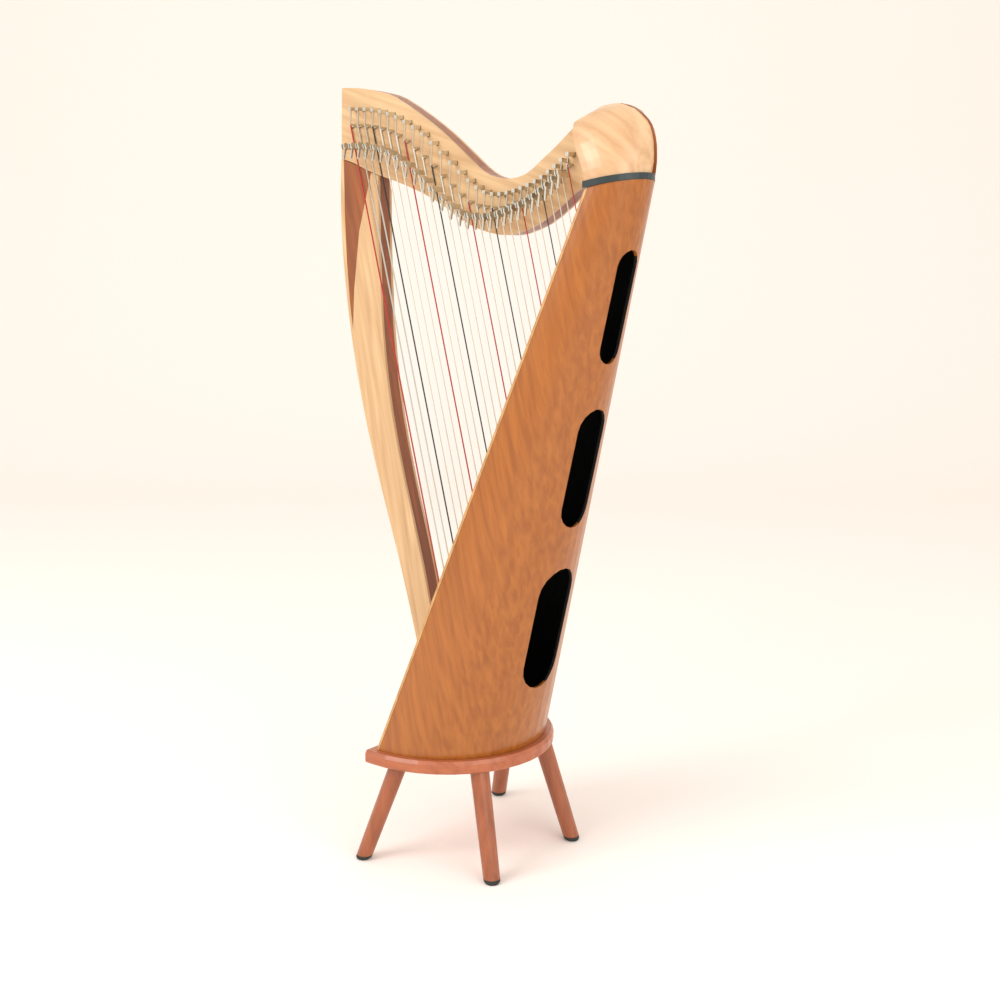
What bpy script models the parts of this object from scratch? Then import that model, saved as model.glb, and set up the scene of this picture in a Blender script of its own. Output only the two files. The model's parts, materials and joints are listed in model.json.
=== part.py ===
import bpy
import bmesh
from math import acos, asin, cos, pi, radians, sin, sqrt, tan
from mathutils import Matrix, Vector

for old in list(bpy.data.objects):
    bpy.data.objects.remove(old, do_unlink=True)

# Main sizes in metres; x = 0 is the foot of the soundboard before the whole harp is centred
CENTRE_X = 0.06687
GAP = 0.0003
LEG_TOP_Z = 0.1525
BASE_TOP_Z = 0.171
BASE_LEDGE = 0.0125
BASE_FRONT = 0.011
TONGUE_FRONT = 0.046
BOARD_LEAN = radians(20.43)
BOARD_THICK = 0.004
SHELL_THICK = 0.004
HALF_WIDTH_FOOT = 0.147
HALF_WIDTH_TAPER = 0.1194
DEPTH_RATIO = 1.07
BAND_Z = 0.9579
BAND_HEIGHT = 0.0082
BAND_PROUD = 0.0026
BAND_TILT = radians(10.06)
NECK_NEAR_Y = 0.012
PLY_THICK = 0.0044
CORE_THICK = 0.019
STRING_COUNT = 29
STRING_LEAN = radians(14.3)
STRING_FOOT_FIRST = 0.2504
STRING_STEP_BASS = 0.0243
STRING_STEP_TREBLE = 0.01995
STRING_BASS = 0.0008
STRING_TREBLE = 0.0005
PIN_HALF = 0.0026
HOLE_HALF = 0.0031
LEG_RADIUS_TOP = 0.014
LEG_RADIUS_FOOT = 0.0122
FOOT_HEIGHT = 0.0065
ROUND_STEPS = 20

CORE_NEAR_Y = NECK_NEAR_Y + PLY_THICK + GAP
CORE_FAR_Y = CORE_NEAR_Y + CORE_THICK
NECK_FAR_Y = CORE_FAR_Y + GAP + PLY_THICK
UP = Vector((sin(BOARD_LEAN), 0, cos(BOARD_LEAN)))
OUT = Vector((-cos(BOARD_LEAN), 0, sin(BOARD_LEAN)))
SIDE = Vector((0, 1, 0))
STRING_UP = Vector((-sin(STRING_LEAN), 0, cos(STRING_LEAN)))
ACROSS = Vector((cos(STRING_LEAN), 0, sin(STRING_LEAN)))


def wood(name, colour):
    mat = bpy.data.materials.new(name)
    mat.use_nodes = True
    shader = mat.node_tree.nodes["Principled BSDF"]
    shader.inputs["Base Color"].default_value = (colour[0], colour[1], colour[2], 1)
    shader.inputs["Roughness"].default_value = 0.4
    return mat


def add_object(name, bm, colour, smooth=False):
    bmesh.ops.remove_doubles(bm, verts=bm.verts, dist=0.000001)
    bmesh.ops.recalc_face_normals(bm, faces=bm.faces)
    mesh = bpy.data.meshes.new(name)
    bm.to_mesh(mesh)
    bm.free()
    mesh.materials.append(wood(name + "_finish", colour))
    for poly in mesh.polygons:
        poly.use_smooth = smooth
    obj = bpy.data.objects.new(name, mesh)
    bpy.context.scene.collection.objects.link(obj)
    obj.location.x = -CENTRE_X
    return obj


def loft(rings, bm=None):
    # closed rings of equal length, joined in order and capped at both ends
    bm = bm or bmesh.new()
    rows = [[bm.verts.new(p) for p in ring] for ring in rings]
    count = len(rows[0])
    for low, high in zip(rows, rows[1:]):
        for i in range(count):
            j = (i + 1) % count
            bm.faces.new((low[i], low[j], high[j], high[i]))
    bm.faces.new(list(reversed(rows[0])))
    bm.faces.new(rows[-1])
    return bm


def plank(name, outline, near_y, far_y, colour, far_outline=None):
    far_outline = far_outline or outline
    near = [Vector((x, near_y, z)) for x, z in outline]
    far = [Vector((x, far_y, z)) for x, z in far_outline]
    return add_object(name, loft([near, far]), colour)


def cut(obj, cutter_mesh):
    cutter = bpy.data.objects.new(obj.name + "_cutter", cutter_mesh)
    bpy.context.scene.collection.objects.link(cutter)
    cutter.location = obj.location
    mod = obj.modifiers.new("cut", "BOOLEAN")
    mod.operation = "DIFFERENCE"
    mod.solver = "EXACT"
    mod.object = cutter
    graph = bpy.context.evaluated_depsgraph_get()
    result = bpy.data.meshes.new_from_object(obj.evaluated_get(graph))
    obj.modifiers.clear()
    obj.data = result
    bpy.data.objects.remove(cutter, do_unlink=True)


def bars_mesh(name, bars):
    # bars: (start, end, first side, second side, half width)
    bm = bmesh.new()
    for start, end, a, b, half in bars:
        ring = [(-1, -1), (1, -1), (1, 1), (-1, 1)]
        loft([[p + a * (u * half) + b * (v * half) for u, v in ring] for p in (start, end)], bm)
    bmesh.ops.recalc_face_normals(bm, faces=bm.faces)
    mesh = bpy.data.meshes.new(name)
    bm.to_mesh(mesh)
    bm.free()
    return mesh


def spline(points, per_span):
    pts = [Vector((p[0], p[1])) for p in points]
    out = []
    for i in range(len(pts) - 1):
        a = pts[max(i - 1, 0)]
        b = pts[i]
        c = pts[i + 1]
        d = pts[min(i + 2, len(pts) - 1)]
        for k in range(per_span):
            t = k / per_span
            p = b * 2 + (c - a) * t + (a * 2 - b * 5 + c * 4 - d) * t * t
            p += (b * 3 - a - c * 3 + d) * t * t * t
            out.append((p.x / 2, p.y / 2))
    out.append((pts[-1].x, pts[-1].y))
    return out


def height_at(points, x):
    # straight steps between the points of a curve, x rising
    for (x0, z0), (x1, z1) in zip(points, points[1:]):
        if x <= x1:
            return z0 + (z1 - z0) * (x - x0) / (x1 - x0)
    return points[-1][1]


# Soundbox measures that follow from the main sizes
def board_x(z):
    return (z - BASE_TOP_Z) * tan(BOARD_LEAN)


def half_width(z):
    return HALF_WIDTH_FOOT - HALF_WIDTH_TAPER * (z - BASE_TOP_Z)


BAND_X = board_x(BAND_Z)
BAND_HALF = half_width(BAND_Z)
BOARD_SKIN = BOARD_THICK / cos(BOARD_LEAN)


def band_z(x):
    return BAND_Z + (x - BAND_X) * tan(BAND_TILT)


def arch(z, inset, front, top_cut=False):
    # half-round ring of the soundbox at height z, its flat side `front` behind the board's face
    ring = []
    for i in range(ROUND_STEPS + 1):
        a = -pi / 2 + pi * i / ROUND_STEPS
        level = z
        for _ in range(12 if top_cut else 1):
            r = half_width(level) - inset
            x = board_x(level) + front + (DEPTH_RATIO * r - front) * cos(a)
            if top_cut:
                level = band_z(x) + z - BAND_Z
        ring.append(Vector((x, r * sin(a), level)))
    return ring


# Base plate with a tongue under the pillar's foot
base_ring = []
for i in range(ROUND_STEPS + 1):
    a = -pi / 2 + pi * i / ROUND_STEPS
    depth = DEPTH_RATIO * HALF_WIDTH_FOOT + BASE_LEDGE
    base_ring.append((depth * cos(a), (HALF_WIDTH_FOOT + BASE_LEDGE) * sin(a)))
side_y = HALF_WIDTH_FOOT + BASE_LEDGE
base_ring += [(-BASE_FRONT, side_y), (-BASE_FRONT, NECK_FAR_Y + 0.02), (-TONGUE_FRONT, NECK_FAR_Y + 0.005)]
base_ring += [(-TONGUE_FRONT, NECK_NEAR_Y - 0.005), (-BASE_FRONT, NECK_NEAR_Y - 0.02), (-BASE_FRONT, -side_y)]
rings = []
for z, inset in ((LEG_TOP_Z, 0.0015), (LEG_TOP_Z + 0.002, 0), (BASE_TOP_Z - 0.005, 0), (BASE_TOP_Z, 0.003)):
    shrink = 1 - inset / side_y
    rings.append([Vector((x * shrink, y * shrink, z)) for x, y in base_ring])
add_object("base_plate", loft(rings), (0.55, 0.22, 0.06))

# Four splayed legs with rubber feet
LEGS = (("front_near", -0.0235, -0.155, 0.024, -0.124), ("front_far", -0.0235, 0.155, 0.024, 0.124))
LEGS += (("back_near", 0.174, -0.094, 0.132, -0.0725), ("back_far", 0.174, 0.094, 0.132, 0.0725))
for name, foot_x, foot_y, top_x, top_y in LEGS:
    foot = Vector((foot_x, foot_y, 0))
    top = Vector((top_x, top_y, LEG_TOP_Z - GAP))

    def ring_at(t, radius):
        centre = foot.lerp(top, t)
        return [centre + Vector((radius * cos(a), radius * sin(a), 0)) for a in
                [2 * pi * i / 16 for i in range(16)]]

    split = FOOT_HEIGHT / top.z
    rings = [ring_at(split + GAP / top.z, LEG_RADIUS_FOOT), ring_at(1, LEG_RADIUS_TOP)]
    add_object("leg_" + name, loft(rings), (0.45, 0.2, 0.08), True)
    rings = [ring_at(0, 0.0095), ring_at(split * 0.4, 0.0118), ring_at(split, LEG_RADIUS_FOOT)]
    add_object("foot_" + name, loft(rings), (0.03, 0.03, 0.03), True)

# Soundbox shell with its three sound holes
skin = BOARD_SKIN + GAP
outer = loft([arch(BASE_TOP_Z + GAP, 0, skin), arch(BAND_Z - GAP, 0, skin, True)])
shell = add_object("soundbox_shell", outer, (0.6, 0.22, 0.04), True)
inner = loft([arch(BASE_TOP_Z - 0.004, SHELL_THICK, skin - 0.004), arch(BAND_Z + 0.004, SHELL_THICK, skin - 0.004, True)])
bmesh.ops.recalc_face_normals(inner, faces=inner.faces)
inner_mesh = bpy.data.meshes.new("shell_inside")
inner.to_mesh(inner_mesh)
inner.free()
cut(shell, inner_mesh)
HOLES = ((0.266, 0.447), (0.507, 0.673), (0.733, 0.881))
HOLE_ANGLE = radians(17.3)
for low, high in HOLES:
    half = half_width((low + high) / 2) * sin(HOLE_ANGLE)
    outline = []
    for centre, start in ((high - half, 0), (low + half, pi)):
        for i in range(10):
            a = start + pi * i / 9
            outline.append((half * cos(a), centre + half * sin(a)))
    bm = loft([[Vector((x, y, z)) for y, z in outline] for x in
               (board_x(low) + 0.03, board_x(high) + DEPTH_RATIO * HALF_WIDTH_FOOT + 0.05)])
    bmesh.ops.recalc_face_normals(bm, faces=bm.faces)
    hole_mesh = bpy.data.meshes.new("sound_hole")
    bm.to_mesh(hole_mesh)
    bm.free()
    cut(shell, hole_mesh)

# Half-round braces inside, clear of the shell, the board and the anchor rib
BRACE_FRONT = 0.03
BRACE_DEEP = 0.008


def brace_arc(z, inset):
    r = half_width(z) - inset
    limit = acos(BRACE_FRONT / (DEPTH_RATIO * r))
    angles = [-limit + 2 * limit * i / ROUND_STEPS for i in range(ROUND_STEPS + 1)]
    return [Vector((board_x(z) + DEPTH_RATIO * r * cos(a), r * sin(a), z)) for a in angles]


for name, z in (("brace_lower", 0.475), ("brace_upper", 0.7)):
    rings = []
    for level in (z, z + 0.008):
        outside = brace_arc(level, SHELL_THICK + GAP + 0.0004)
        inside = brace_arc(level, SHELL_THICK + GAP + 0.0004 + BRACE_DEEP)
        rings.append(outside + list(reversed(inside)))
    add_object(name, loft(rings), (0.5, 0.3, 0.12))

# Soundboard, string rib in front of it, and the places where the strings pass through
FOOT_POINT = Vector((0, 0, BASE_TOP_Z + GAP))
BOARD_LENGTH = (BAND_Z - GAP - BASE_TOP_Z - GAP) / cos(BOARD_LEAN)


def board_point(length, side, out):
    return FOOT_POINT + UP * length + SIDE * side + OUT * out


drop = BOARD_THICK * tan(BOARD_LEAN)
rings = []
for depth, trim in ((0, 0), (-BOARD_THICK, drop)):
    ring = []
    for length, z in ((0, BASE_TOP_Z), (BOARD_LENGTH, BAND_Z)):
        half = half_width(z)
        at = length + (trim if length == 0 else trim - 0.0008)
        side = (-half, half) if length == 0 else (half, -half)
        ring += [board_point(at, side[0], depth), board_point(at, side[1], depth)]
    rings.append(ring)
board = add_object("soundboard", loft(rings), (0.62, 0.36, 0.14))

string_feet = []
foot_z = STRING_FOOT_FIRST
for k in range(STRING_COUNT):
    string_feet.append((foot_z - FOOT_POINT.z) / cos(BOARD_LEAN))
    share = k / (STRING_COUNT - 2)
    foot_z += STRING_STEP_BASS + (STRING_STEP_TREBLE - STRING_STEP_BASS) * share

RIB_FRONT = 0.0033
rings = []
for length in (string_feet[0] - 0.03, string_feet[-1] + 0.025):
    ring = [(-0.013, GAP), (0.013, GAP), (0.010, RIB_FRONT), (-0.010, RIB_FRONT)]
    rings.append([board_point(length, side, out) for side, out in ring])
rib = add_object("string_rib", loft(rings), (0.5, 0.27, 0.1))
passages = [(board_point(s, 0, -0.007), board_point(s, 0, 0.007), UP, SIDE, 0.0019) for s in string_feet]
cut(board, bars_mesh("board_holes", passages))
cut(rib, bars_mesh("rib_holes", passages))

# Neck curves: upper edge, lower edge, tuning pins and bridge pins
NECK_TOP = [(-0.213, 1.125), (-0.174, 1.1215), (-0.132, 1.113), (-0.101, 1.103), (-0.049, 1.0742)]
NECK_TOP += [(-0.0105, 1.0495), (0.018, 1.0286), (0.046, 1.0066), (0.0683, 0.9906), (0.09, 0.982)]
NECK_TOP += [(0.117, 0.9785), (0.146, 0.984), (0.171, 1.0), (0.2, 1.02), (0.2285, 1.0425)]
CAP_TOP = [(0.2285, 1.0425), (0.249, 1.0555), (0.272, 1.0645), (0.298, 1.066), (0.322, 1.0575)]
CAP_BACK = [(0.322, 1.0575), (0.3405, 1.0435), (0.349, 1.03), (0.3535, 1.011), (0.354, 0.99)]
NECK_UNDER = [(0.26, 0.968), (0.244, 0.9635), (0.222, 0.952), (0.204, 0.938), (0.17, 0.9175)]
NECK_UNDER += [(0.13, 0.9045), (0.099, 0.903), (0.0625, 0.911), (0.0287, 0.9244), (-0.0077, 0.946)]
NECK_UNDER += [(-0.0537, 0.9668), (-0.1075, 0.985), (-0.1384, 0.9935)]
NECK_HEEL = [(-0.165, 1.003), (-0.19, 1.0135), (-0.2165, 1.0215)]
GLUE_LINE = [(0.2346, 1.022), (0.2446, 1.002), (0.2546, 0.984)]
band_top = BAND_HEIGHT + GAP
back_foot = (0.3525, band_z(0.3525) + band_top)
front_foot = (0.283, band_z(0.283) + band_top)
neck_lower = spline(NECK_UNDER, 2) + NECK_HEEL
face_outline = spline(NECK_TOP, 2) + GLUE_LINE + neck_lower
core_outline = spline(NECK_TOP, 2) + spline(CAP_TOP, 2)[1:] + spline(CAP_BACK, 2)[1:]
core_outline += [back_foot, front_foot] + neck_lower


def rounded_back(outline, near_y, far_y):
    # narrows the part behind the band's front so that it follows the half-round section
    ratio = sqrt(1 - (far_y / BAND_HALF) ** 2) / sqrt(1 - (near_y / BAND_HALF) ** 2)
    out = []
    for x, z in outline:
        x2 = BAND_X + (x - BAND_X) * ratio if x > BAND_X else x
        z2 = z + (x2 - x) * tan(BAND_TILT) if z < BAND_Z + 0.03 and x > BAND_X else z
        out.append((x2, z2))
    return out


ASH = (0.66, 0.42, 0.2)
CORE_BROWN = (0.36, 0.13, 0.05)
core = plank("neck_core", core_outline, CORE_NEAR_Y, CORE_FAR_Y, CORE_BROWN,
             rounded_back(core_outline, CORE_NEAR_Y, CORE_FAR_Y))
near_ply = plank("neck_near_ply", face_outline, NECK_NEAR_Y, NECK_NEAR_Y + PLY_THICK, ASH)
far_ply = plank("neck_far_ply", face_outline, CORE_FAR_Y + GAP, NECK_FAR_Y, ASH)

PIN_CURVE = [(1, 1.0915), (4, 1.0865), (7, 1.073), (10, 1.046), (13, 1.004), (15, 0.9778), (17, 0.9615)]
PIN_CURVE += [(19, 0.9578), (22, 0.9645), (25, 0.9775), (29, 1.0052)]
BRIDGE_CURVE = [(1, 1.0685), (4, 1.0637), (7, 1.049), (10, 1.016), (13, 0.9735), (15, 0.9495)]
BRIDGE_CURVE += [(17, 0.942), (19, 0.9405), (22, 0.95), (25, 0.9636), (29, 0.9923)]
pin_line = spline(PIN_CURVE, 6)
bridge_line = spline(BRIDGE_CURVE, 6)

strings = []
for k in range(STRING_COUNT):
    s = string_feet[k]
    start = board_point(s, 0, RIB_FRONT + 0.0015)
    bridge_z = height_at(bridge_line, k + 1)
    length = (bridge_z - start.z) / STRING_UP.z
    bridge = start + STRING_UP * length
    pin_z = height_at(pin_line, k + 1)
    pin = Vector((bridge.x + 0.0012, 0, pin_z))
    thick = STRING_BASS + (STRING_TREBLE - STRING_BASS) * k / (STRING_COUNT - 1)
    pivot = bridge - STRING_UP * max(length * 0.038, 0.011)
    strings.append((s, start, bridge, pin, thick, pivot))

pin_holes = []
for s, start, bridge, pin, thick, pivot in strings:
    ends = (Vector((pin.x, 0, pin.z)), Vector((pin.x, 0.06, pin.z)))
    pin_holes.append((ends[0], ends[1], Vector((1, 0, 0)), Vector((0, 0, 1)), HOLE_HALF))
for obj in (core, near_ply, far_ply):
    cut(obj, bars_mesh(obj.name + "_pin_holes", pin_holes))

# Pillar: three laminations, with a brown wedge let into each face below the neck
PILLAR_OUTER = [(-0.2185, 1.0), (-0.2203, 0.952), (-0.2183, 0.884), (-0.2085, 0.792), (-0.192, 0.6995)]
PILLAR_OUTER += [(-0.1693, 0.607), (-0.1407, 0.515), (-0.11, 0.424), (-0.082, 0.332)]
PILLAR_OUTER += [(-0.0385, BASE_TOP_Z + GAP)]
PILLAR_INNER = [(-0.001, BASE_TOP_Z + GAP), (-0.027, 0.286), (-0.054, 0.402), (-0.0803, 0.494)]
PILLAR_INNER += [(-0.1055, 0.586), (-0.1243, 0.678), (-0.1345, 0.77), (-0.1388, 0.883), (-0.1384, 0.9925)]
heel = [(x, z - GAP * 2) for x, z in NECK_HEEL[:2]]
outer_line = spline(PILLAR_OUTER, 2)
inner_line = spline(PILLAR_INNER, 2)
top_left = (-0.2172, NECK_HEEL[2][1] - GAP * 2)
pillar_outline = [top_left] + outer_line + inner_line + heel
plank("pillar_core", pillar_outline, CORE_NEAR_Y, CORE_FAR_Y, CORE_BROWN)
wedge_left = [(-0.2115, 1.0188), (-0.2118, 0.94), (-0.2093, 0.868), (-0.2044, 0.807)]
wedge_tip = (-0.1989, 0.7643)
wedge_right = [(-0.1951, 0.8228), (-0.1816, 0.912), (-0.1537, 0.9978)]
wedge = wedge_left + [wedge_tip] + wedge_right + [(-0.19, 1.0123)]
notch = [(x - GAP, z) for x, z in reversed(wedge_left)]
notch_right = [(x + GAP, z) for x, z in reversed(wedge_right)]
ply_outline = [top_left] + outer_line + inner_line + notch_right
ply_outline += [(wedge_tip[0], wedge_tip[1] - GAP * 4)] + notch
for name, near_y in (("near", NECK_NEAR_Y), ("far", CORE_FAR_Y + GAP)):
    plank("pillar_" + name + "_ply", ply_outline, near_y, near_y + PLY_THICK, ASH)
    plank("pillar_" + name + "_inlay", wedge, near_y, near_y + PLY_THICK, CORE_BROWN)


# Carved shoulder blocks on both faces of the neck, from flat at the neck to half-round on the band
def shoulder(name, back_y, face_y, sign):
    arc_end = asin(back_y / BAND_HALF)
    arc_start = -pi / 2 if sign < 0 else pi / 2
    depth = DEPTH_RATIO * BAND_HALF
    bottom = [(0.26, face_y), (0.272, face_y + sign * 0.007), (0.284, (face_y + sign * BAND_HALF) / 2)]
    steps = 12
    for i in range(steps + 1):
        a = arc_start + (arc_end - arc_start) * i / steps
        bottom.append((BAND_X + depth * cos(a), BAND_HALF * sin(a)))
    ratio = sqrt(1 - (back_y / BAND_HALF) ** 2) / sqrt(1 - (CORE_NEAR_Y / BAND_HALF) ** 2)
    right = [(BAND_X + (x - BAND_X) * ratio * 0.93, z) for x, z in reversed(spline(CAP_BACK, 2))]
    right = [(bottom[-1][0], band_z(bottom[-1][0]) + band_top)] + right
    left = [(0.26, 0.968)] + [(x, z) for x, z in reversed(GLUE_LINE)] + [CAP_TOP[0]]
    left = [(x + GAP, z) for x, z in left]
    top = CAP_TOP[:-1] + [right[-1]]
    rows = 9

    def along(line, t):
        at = t * (len(line) - 1)
        i = min(int(at), len(line) - 2)
        return Vector(line[i]).lerp(Vector(line[i + 1]), at - i)

    bm = bmesh.new()
    grid = []
    count = len(bottom)
    low = [Vector((x, max(band_z(x) + band_top, 0.9655 if x < BAND_X else 0))) for x, y in bottom]
    low[0] = Vector(left[0])
    low[-1] = Vector(right[0])
    for j in range(rows):
        t = j / (rows - 1)
        fade = sqrt(max(0, 1 - t ** 2.4))
        row = []
        for i in range(count):
            s = i / (count - 1)
            p = low[i] * (1 - t) + along(top, s) * t + along(left, t) * (1 - s) + along(right, t) * s
            p -= (low[0] * (1 - s) + low[-1] * s) * (1 - t) + (Vector(top[0]) * (1 - s) + Vector(top[-1]) * s) * t
            y = face_y + (bottom[i][1] - face_y) * fade
            row.append(bm.verts.new((p.x, y, p.y)))
        grid.append(row)
    for j in range(rows - 1):
        for i in range(count - 1):
            bm.faces.new((grid[j][i], grid[j][i + 1], grid[j + 1][i + 1], grid[j + 1][i]))
    edge = [grid[0][i] for i in range(count)] + [grid[j][-1] for j in range(1, rows)]
    edge += [grid[-1][i] for i in range(count - 2, -1, -1)] + [grid[j][0] for j in range(rows - 2, 0, -1)]
    back = []
    for v in edge:
        same = abs(v.co.y - back_y) < 0.000001
        back.append(v if same else bm.verts.new((v.co.x, back_y, v.co.z)))
    for i in range(len(edge)):
        j = (i + 1) % len(edge)
        ring = []
        for v in (edge[i], back[i], back[j], edge[j]):
            if v not in ring:
                ring.append(v)
        if len(ring) > 2:
            bm.faces.new(ring)
    bm.faces.new(back)
    bmesh.ops.triangulate(bm, faces=bm.faces)
    return add_object(name, bm, ASH, False)


shoulder("shoulder_near", CORE_NEAR_Y - GAP, NECK_NEAR_Y, -1)
shoulder("shoulder_far", CORE_FAR_Y + GAP, NECK_FAR_Y, 1)

# Dark band between the soundbox and the shoulder
rings = []
for lift, inset in ((0, 0), (BAND_HEIGHT, 0)):
    ring = []
    for i in range(ROUND_STEPS + 1):
        a = -pi / 2 + pi * i / ROUND_STEPS
        x = BAND_X + (DEPTH_RATIO * BAND_HALF + BAND_PROUD) * cos(a)
        ring.append(Vector((x, (BAND_HALF + BAND_PROUD) * sin(a), band_z(x) + lift)))
    for side in (1, -1):
        x = BAND_X - BAND_PROUD
        ring.append(Vector((x, side * (BAND_HALF + BAND_PROUD), band_z(x) + lift)))
    rings.append(ring)
add_object("shoulder_band", loft(rings), (0.03, 0.04, 0.04))

# Strings with their anchor rib, bridge pins, lever brackets and tuning pins, joined as one piece
FOOT_HALF = 0.0008
bm = bmesh.new()
marks = []
for s in string_feet:
    marks += [s - FOOT_HALF, s + FOOT_HALF]
marks = [string_feet[0] - 0.012] + marks + [string_feet[-1] + 0.012]
top_out = -BOARD_THICK - GAP
low_out = top_out - 0.005
rows = []
for mark in marks:
    ring = [(-0.009, top_out), (-FOOT_HALF, top_out), (FOOT_HALF, top_out), (0.009, top_out)]
    ring += [(0.009, low_out), (-0.009, low_out)]
    rows.append([bm.verts.new(board_point(mark, side, out)) for side, out in ring])
foot_faces = []
for n, (low, high) in enumerate(zip(rows, rows[1:])):
    for i in range(6):
        j = (i + 1) % 6
        face = bm.faces.new((low[i], low[j], high[j], high[i]))
        if i == 1 and n % 2 == 1:
            foot_faces.append(face)
bm.faces.new(list(reversed(rows[0])))
bm.faces.new(rows[-1])


def push(face, ring):
    # extends a four-sided face to a new ring of four corners, given near its own corners
    verts = list(face.verts)
    bm.faces.remove(face)
    new = [bm.verts.new(p) for p in ring]
    sides = []
    for i in range(4):
        j = (i + 1) % 4
        sides.append(bm.faces.new((verts[i], verts[j], new[j], new[i])))
    return bm.faces.new(new), sides


def moved(face, shift):
    return [v.co + shift for v in face.verts]


def square(face, centre, a, b, half_a, half_b):
    # four corners round a centre in the same order as the face's own corners
    ring = []
    middle = face.calc_center_median()
    for v in face.verts:
        d = v.co - middle
        ring.append(centre + a * (half_a if d.dot(a) > 0 else -half_a) + b * (half_b if d.dot(b) > 0 else -half_b))
    return ring


def facing(faces, direction):
    for f in faces:
        f.normal_update()
    return max(faces, key=lambda f: abs(f.normal.dot(direction)) * (1 if (
        f.calc_center_median() - facing.centre).dot(direction) > 0 else -1))


for face, (s, start, bridge, pin, thick, pivot) in zip(foot_faces, strings):
    face, sides = push(face, square(face, board_point(s, 0, RIB_FRONT + 0.0007), UP, SIDE, thick, thick))
    face, sides = push(face, square(face, start + STRING_UP * 0.002, -ACROSS, SIDE, thick, thick))
    low = bridge - STRING_UP * 0.0012
    face, sides = push(face, square(face, low, -ACROSS, SIDE, thick, thick))
    face, sides = push(face, square(face, low + STRING_UP * 0.0001, -ACROSS, SIDE, 0.0012, 0.0016))
    face, sides = push(face, moved(face, STRING_UP * 0.0024))
    facing.centre = bridge
    post = facing(sides, SIDE)
    post, post_sides = push(post, moved(post, SIDE * (NECK_NEAR_Y - GAP - 0.0028 - 0.0016)))
    post, post_sides = push(post, moved(post, SIDE * 0.0028))
    facing.centre = bridge + SIDE * (NECK_NEAR_Y - GAP - 0.0014)
    arm = facing(post_sides, -ACROSS)
    arm, arm_sides = push(arm, moved(arm, -ACROSS * 0.0072))
    arm, arm_sides = push(arm, moved(arm, -ACROSS * 0.0016))
    facing.centre = facing.centre - ACROSS * 0.0092
    leg = facing(arm_sides, -STRING_UP)
    reach = (bridge - pivot).length
    leg, leg_sides = push(leg, moved(leg, -STRING_UP * (reach - 0.0012 - 0.0035)))
    leg, leg_sides = push(leg, moved(leg, -STRING_UP * 0.007))
    facing.centre = pivot + SIDE * (NECK_NEAR_Y - GAP - 0.0014) - ACROSS * 0.0092
    ear = facing(leg_sides, -SIDE)
    push(ear, moved(ear, -SIDE * 0.0275))
    face, sides = push(face, square(face, bridge + STRING_UP * 0.0014, -ACROSS, SIDE, thick, thick))
    below = Vector((pin.x, 0, pin.z - PIN_HALF - 0.0001))
    face, sides = push(face, square(face, below, Vector((-1, 0, 0)), SIDE, thick, thick))
    face, sides = push(face, square(face, below + Vector((0, 0, 0.0001)), Vector((-1, 0, 0)), SIDE, PIN_HALF, 0.003))
    face, sides = push(face, moved(face, Vector((0, 0, 2 * PIN_HALF))))
    facing.centre = pin
    shaft = facing(sides, SIDE)
    push(shaft, moved(shaft, SIDE * (NECK_FAR_Y + 0.012 - 0.003)))
add_object("strings_and_pins", bm, (0.75, 0.73, 0.68))


# Lever handle: ring round the pivot, paddle hanging below it and a finger reaching over the string
def lever_mesh():
    bm = bmesh.new()
    tilt = radians(-25)
    paddle = [(-0.0016, -0.007), (-0.0012, -0.0208), (0.0, -0.0225), (0.0012, -0.0208), (0.0015, -0.007)]
    outline = ring_points() + paddle
    outline = [(y * cos(tilt) - z * sin(tilt), y * sin(tilt) + z * cos(tilt)) for y, z in outline]
    wide = 0.0015
    return loft([[Vector((side, y, z)) for y, z in outline] for side in (-wide, wide)], bm)


def ring_points():
    # ring outline from the paddle's right side round over the top to its left side
    points = []
    for i in range(13):
        a = radians(-70 + 320 * i / 12)
        points.append((0.0052 * cos(a), 0.0052 * sin(a)))
    return points


for k, (s, start, bridge, pin, thick, pivot) in enumerate(strings):
    obj = add_object("lever_%02d" % (k + 1), lever_mesh(), (0.7, 0.7, 0.68))
    centre = pivot - ACROSS * 0.0063 - SIDE * 0.0125
    frame = Matrix((ACROSS, SIDE, STRING_UP)).transposed().to_4x4()
    obj.matrix_world = Matrix.Translation(centre - Vector((CENTRE_X, 0, 0))) @ frame
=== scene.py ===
import json
from math import cos, pi, radians, sin, tan

import bpy
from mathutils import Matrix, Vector


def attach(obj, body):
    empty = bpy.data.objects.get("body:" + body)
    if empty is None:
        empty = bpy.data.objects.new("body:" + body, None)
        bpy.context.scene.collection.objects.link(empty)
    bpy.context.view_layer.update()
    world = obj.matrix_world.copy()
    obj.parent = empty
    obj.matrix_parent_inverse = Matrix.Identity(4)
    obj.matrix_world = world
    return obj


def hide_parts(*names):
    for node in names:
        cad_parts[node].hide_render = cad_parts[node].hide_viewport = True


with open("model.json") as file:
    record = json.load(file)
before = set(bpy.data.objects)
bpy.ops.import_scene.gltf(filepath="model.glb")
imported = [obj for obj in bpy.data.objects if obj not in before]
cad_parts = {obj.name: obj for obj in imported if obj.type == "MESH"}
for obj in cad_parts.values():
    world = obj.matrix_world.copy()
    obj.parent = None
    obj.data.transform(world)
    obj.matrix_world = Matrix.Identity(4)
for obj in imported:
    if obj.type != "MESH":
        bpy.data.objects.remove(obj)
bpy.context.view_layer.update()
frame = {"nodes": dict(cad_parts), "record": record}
nodes = frame["nodes"]


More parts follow.
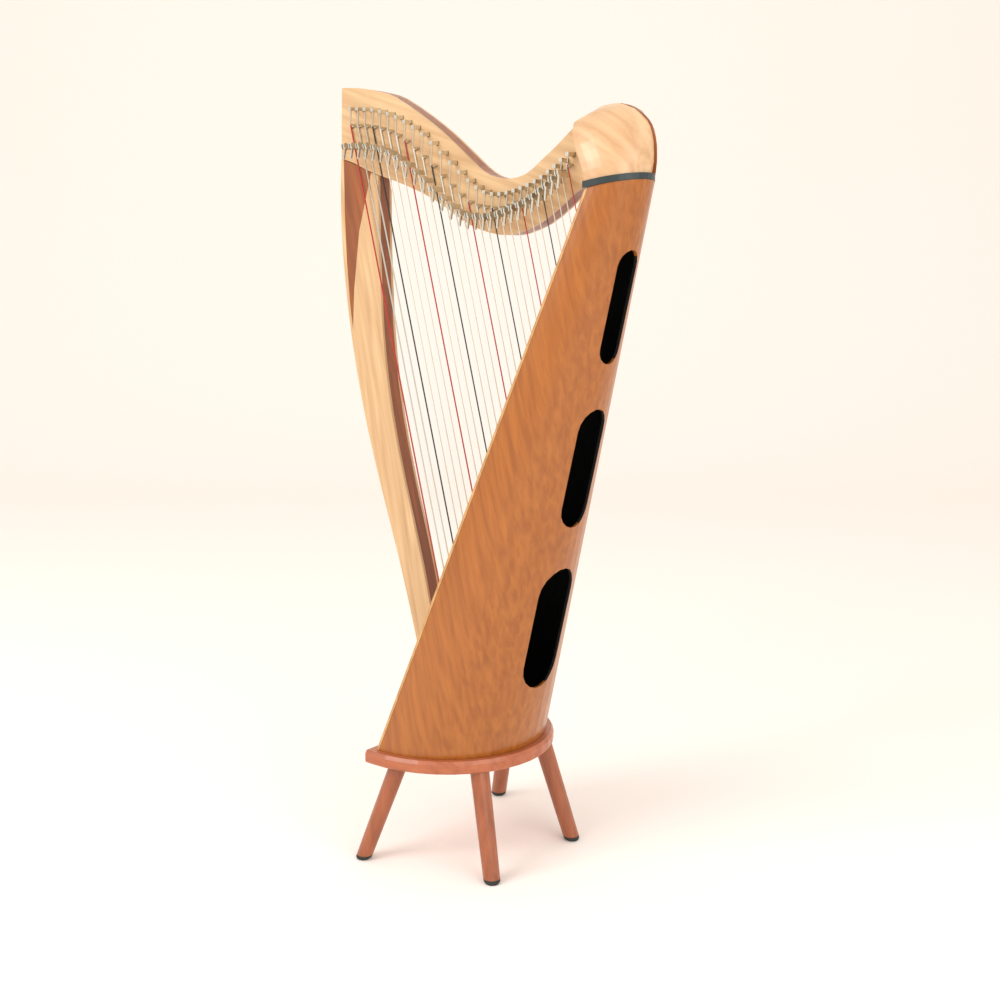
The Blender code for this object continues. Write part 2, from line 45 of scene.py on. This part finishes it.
# Places and angles shared with the CAD, in metres; the harp is shifted by CENTRE_X to centre it
CENTRE_X = 0.06687
BASE_TOP_Z = 0.171
BOARD_LEAN = radians(20.43)
STRING_LEAN = radians(14.3)
BOARD_FOOT = Vector((-CENTRE_X, 0, BASE_TOP_Z))
BOARD_OUT = Vector((-cos(BOARD_LEAN), 0, sin(BOARD_LEAN)))
ANCHOR_RIB_DEPTH = 0.0042
RIB_TOP_Z = 0.9
INWARD_REACH = 0.01
BACKWARD_TURN = 0.9

# A string's faces are taller than this, lie this near y = 0, and repeat their colours every octave
STRING_FACE_HEIGHT = 0.06
STRING_PLANE_REACH = 0.002
STRING_CLUSTER = 0.005
STRING_SLACK = 0.001
NOTES_IN_OCTAVE = 7
RED_NOTE = 0
BLACK_NOTE = 3
WOUND_STRINGS = 4

# The photograph's camera
CAMERA_PLACE = (1.3015 - CENTRE_X, -1.4218, 0.8668)
CAMERA_TURN = radians(40.02)
CAMERA_DIP = radians(10.06)

# Backdrop sheet: a floor that curves up into a wall behind the harp
STAGE_TURN = radians(40)
STAGE_FRONT = -6.0
STAGE_BEND = 3.0
BEND_RADIUS = 1.5
BEND_STEPS = 12
WALL_TOP = 7.0
STAGE_HALF_WIDTH = 8
FLOOR_DROP = 0.0005


# Procedural finishes
STREAK_STRETCH = 0.06


def finish(name, rough, metal=0.0):
    mat = bpy.data.materials.new(name)
    mat.use_nodes = True
    shader = mat.node_tree.nodes["Principled BSDF"]
    shader.inputs["Roughness"].default_value = rough
    shader.inputs["Metallic"].default_value = metal
    return mat, mat.node_tree, shader


def grain(name, dark, pale, turn, scale=14.0, rough=0.35):
    # long streaks of colour that run with the wood, drawn in the object's own coordinates
    mat, tree, shader = finish(name, rough)
    where = tree.nodes.new("ShaderNodeTexCoord")
    mapping = tree.nodes.new("ShaderNodeMapping")
    mapping.inputs["Rotation"].default_value = (0, turn, 0)
    stretch = tree.nodes.new("ShaderNodeMapping")
    stretch.inputs["Scale"].default_value = (1, 1, STREAK_STRETCH)
    noise = tree.nodes.new("ShaderNodeTexNoise")
    noise.inputs["Scale"].default_value = scale * 6
    noise.inputs["Detail"].default_value = 6
    noise.inputs["Distortion"].default_value = 0.4
    ramp = tree.nodes.new("ShaderNodeValToRGB")
    ramp.color_ramp.elements[0].position = 0.32
    ramp.color_ramp.elements[0].color = (*dark, 1)
    ramp.color_ramp.elements[1].position = 0.68
    ramp.color_ramp.elements[1].color = (*pale, 1)
    tree.links.new(where.outputs["Object"], mapping.inputs["Vector"])
    tree.links.new(mapping.outputs["Vector"], stretch.inputs["Vector"])
    tree.links.new(stretch.outputs["Vector"], noise.inputs["Vector"])
    tree.links.new(noise.outputs["Fac"], ramp.inputs["Fac"])
    tree.links.new(ramp.outputs["Color"], shader.inputs["Base Color"])
    shader.inputs["Coat Weight"].default_value = 0.25
    shader.inputs["Coat Roughness"].default_value = 0.25
    return mat


def plain(name, colour, rough, metal=0.0):
    mat, tree, shader = finish(name, rough, metal)
    noise = tree.nodes.new("ShaderNodeTexNoise")
    noise.inputs["Scale"].default_value = 300
    ramp = tree.nodes.new("ShaderNodeValToRGB")
    ramp.color_ramp.elements[0].color = (*[c * 0.85 for c in colour], 1)
    ramp.color_ramp.elements[1].color = (*colour, 1)
    where = tree.nodes.new("ShaderNodeTexCoord")
    tree.links.new(where.outputs["Object"], noise.inputs["Vector"])
    tree.links.new(noise.outputs["Fac"], ramp.inputs["Fac"])
    tree.links.new(ramp.outputs["Color"], shader.inputs["Base Color"])
    return mat


LOOKS = {
    "neck_ply": grain("neck_ash", (0.5, 0.29, 0.13), (0.69, 0.46, 0.24), radians(72)),
    "pillar_ply": grain("pillar_ash", (0.5, 0.29, 0.13), (0.69, 0.46, 0.24), radians(12)),
    "core": grain("core_brown", (0.2, 0.05, 0.008), (0.33, 0.09, 0.014), radians(15), 20),
    "cap": grain("shoulder_ash", (0.55, 0.3, 0.14), (0.7, 0.46, 0.25), radians(60), 9),
    "shell": grain("shell_orange", (0.29, 0.08, 0.007), (0.4, 0.125, 0.014), radians(13), 22, 0.3),
    "board": grain("board_spruce", (0.42, 0.2, 0.06), (0.6, 0.34, 0.13), radians(20), 20),
    "base": grain("base_brown", (0.35, 0.09, 0.03), (0.46, 0.13, 0.05), radians(90), 16),
    "leg": grain("leg_brown", (0.25, 0.065, 0.02), (0.36, 0.1, 0.035), 0.0, 16),
    "band": plain("band_dark", (0.022, 0.034, 0.034), 0.4),
    "rubber": plain("rubber_dark", (0.03, 0.03, 0.025), 0.8),
    # near-black painted shade for the inside of the soundbox: inner shell faces, back of the board
    # and anchor rib
    "interior_shade": plain("interior_painted_shade", (0.006, 0.006, 0.006), 0.9),
    "red": plain("string_red", (0.45, 0.02, 0.015), 0.4),
    "black": plain("string_black", (0.02, 0.02, 0.02), 0.4),
    "ivory": plain("string_ivory", (0.75, 0.7, 0.6), 0.4),
    "metal": plain("nickel", (0.72, 0.69, 0.6), 0.3, 1.0),
}


def look_of(name):
    if name.startswith("lever_") or name == "strings_and_pins":
        return "metal"
    if name.startswith("leg_"):
        return "leg"
    if name.startswith("foot_"):
        return "rubber"
    if "core" in name or "inlay" in name:
        return "core"
    if name.startswith("neck_"):
        return "neck_ply"
    if name.startswith("pillar_"):
        return "pillar_ply"
    if name == "shoulder_band":
        return "band"
    if name.startswith("shoulder_"):
        return "cap"
    if name == "soundbox_shell":
        return "shell"
    if name == "base_plate":
        return "base"
    return "board"


BODY_OF = {}
for body, members in (frame["record"].get("behaviour") or {}).get("bodies", {}).items():
    for member in members:
        BODY_OF[member] = body


def repaint(mesh, key, wanted):
    index = len(mesh.materials)
    mesh.materials.append(LOOKS[key])
    for face in mesh.polygons:
        if wanted(face):
            face.material_index = index


def paint_strings(mesh):
    # a string's faces are long, and each string has its own distance across the set
    def across(face):
        return face.center.x * cos(STRING_LEAN) + face.center.z * sin(STRING_LEAN)

    def is_string(face):
        heights = [mesh.vertices[v].co.z for v in face.vertices]
        tall = max(heights) - min(heights) > STRING_FACE_HEIGHT
        return tall and abs(face.center.y) < STRING_PLANE_REACH

    places = []
    for value in sorted(across(face) for face in mesh.polygons if is_string(face)):
        if not places or value - places[-1] > STRING_CLUSTER:
            places.append(value)
    colours = {"red": [], "black": [], "ivory": []}
    for i, place in enumerate(places):
        note = i % NOTES_IN_OCTAVE
        if note == RED_NOTE:
            colours["red"].append(place)
        elif note == BLACK_NOTE:
            colours["black"].append(place)
        elif i >= WOUND_STRINGS:
            colours["ivory"].append(place)
    for key, chosen in colours.items():

        def is_chosen(face):
            gaps = [across(face) - place for place in chosen]
            return is_string(face) and any(-STRING_SLACK < gap < STRING_CLUSTER for gap in gaps)

        repaint(mesh, key, is_chosen)

    def on_anchor_rib(face):
        behind = (face.center - BOARD_FOOT).dot(BOARD_OUT) < -ANCHOR_RIB_DEPTH
        return behind and face.center.z < RIB_TOP_Z

    # the anchor rib inside the box gets the near-black painted shade
    repaint(mesh, "interior_shade", on_anchor_rib)


def faces_inside(face):
    # true where a face of the shell looks towards the line up the middle of the board; these inner
    # faces get the near-black painted shade
    rise = face.center.z - BASE_TOP_Z
    middle = BOARD_FOOT + Vector((rise * tan(BOARD_LEAN), 0, rise))
    return face.normal.dot(face.center - middle) < -INWARD_REACH


# One dressed piece for each CAD node, in the node's own place
for name, node in nodes.items():
    mesh = node.data.copy()
    mesh.materials.clear()
    mesh.materials.append(LOOKS[look_of(name)])
    if name == "strings_and_pins":
        paint_strings(mesh)
    if name == "soundboard":
        # the back face of the board, inside the box, gets the near-black painted shade
        repaint(mesh, "interior_shade", lambda f: f.normal.dot(BOARD_OUT) < -BACKWARD_TURN)
    if name == "soundbox_shell":
        # the shell's inner faces get the near-black painted shade
        repaint(mesh, "interior_shade", faces_inside)
    piece = bpy.data.objects.new("look_" + name, mesh)
    bpy.context.scene.collection.objects.link(piece)
    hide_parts(name)
    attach(piece, BODY_OF[name])

# Floor and backdrop in one pale sheet, out of the object's own pieces
white, _, shader = finish("stage_white", 0.9)
shader.inputs["Base Color"].default_value = (0.96, 0.89, 0.83, 1)
profile = [(STAGE_FRONT, 0.0), (STAGE_BEND, 0.0)]
for i in range(1, BEND_STEPS):
    turn = pi / 2 * i / BEND_STEPS
    profile.append((STAGE_BEND + BEND_RADIUS * sin(turn), BEND_RADIUS * (1 - cos(turn))))
profile += [(STAGE_BEND + BEND_RADIUS, BEND_RADIUS), (STAGE_BEND + BEND_RADIUS, WALL_TOP)]
away = Vector((-sin(STAGE_TURN), cos(STAGE_TURN), 0))
right = Vector((cos(STAGE_TURN), sin(STAGE_TURN), 0))
verts = []
for side in (-STAGE_HALF_WIDTH, STAGE_HALF_WIDTH):
    verts += [away * d + right * side + Vector((0, 0, z - FLOOR_DROP)) for d, z in profile]
count = len(profile)
faces = [(i, i + 1, count + i + 1, count + i) for i in range(count - 1)]
sheet = bpy.data.meshes.new("stage_sheet")
sheet.from_pydata(verts, [], faces)
sheet.materials.append(white)
for face in sheet.polygons:
    face.use_smooth = True
stage = bpy.data.objects.new("stage_sheet", sheet)
bpy.context.scene.collection.objects.link(stage)

# Soft light from above and both sides
world = bpy.data.worlds.new("studio")
world.use_nodes = True
world.node_tree.nodes["Background"].inputs["Color"].default_value = (1, 0.97, 0.94, 1)
world.node_tree.nodes["Background"].inputs["Strength"].default_value = 0.95
bpy.context.scene.world = world


def lamp(name, place, size, power):
    data = bpy.data.lights.new(name, "AREA")
    data.size = size
    data.energy = power
    obj = bpy.data.objects.new(name, data)
    bpy.context.scene.collection.objects.link(obj)
    obj.location = place
    obj.rotation_euler = (Vector((0, 0, 0.6)) - Vector(place)).to_track_quat("-Z", "Y").to_euler()


lamp("key", (-0.8, -2.6, 2.6), 1.8, 60)
lamp("fill", (2.6, -0.6, 1.6), 2.2, 30)

# Camera at the photograph's place
camera = bpy.data.cameras.new("camera")
camera.sensor_width = 36
camera.lens = 47.44
camera.shift_x = 0.001
camera.shift_y = -0.005
camera.dof.use_dof = False
view = bpy.data.objects.new("camera", camera)
bpy.context.scene.collection.objects.link(view)
view.location = CAMERA_PLACE
view.rotation_euler = (radians(90) - CAMERA_DIP, 0, CAMERA_TURN)
bpy.context.scene.camera = view
bpy.context.scene.view_settings.view_transform = "Standard"
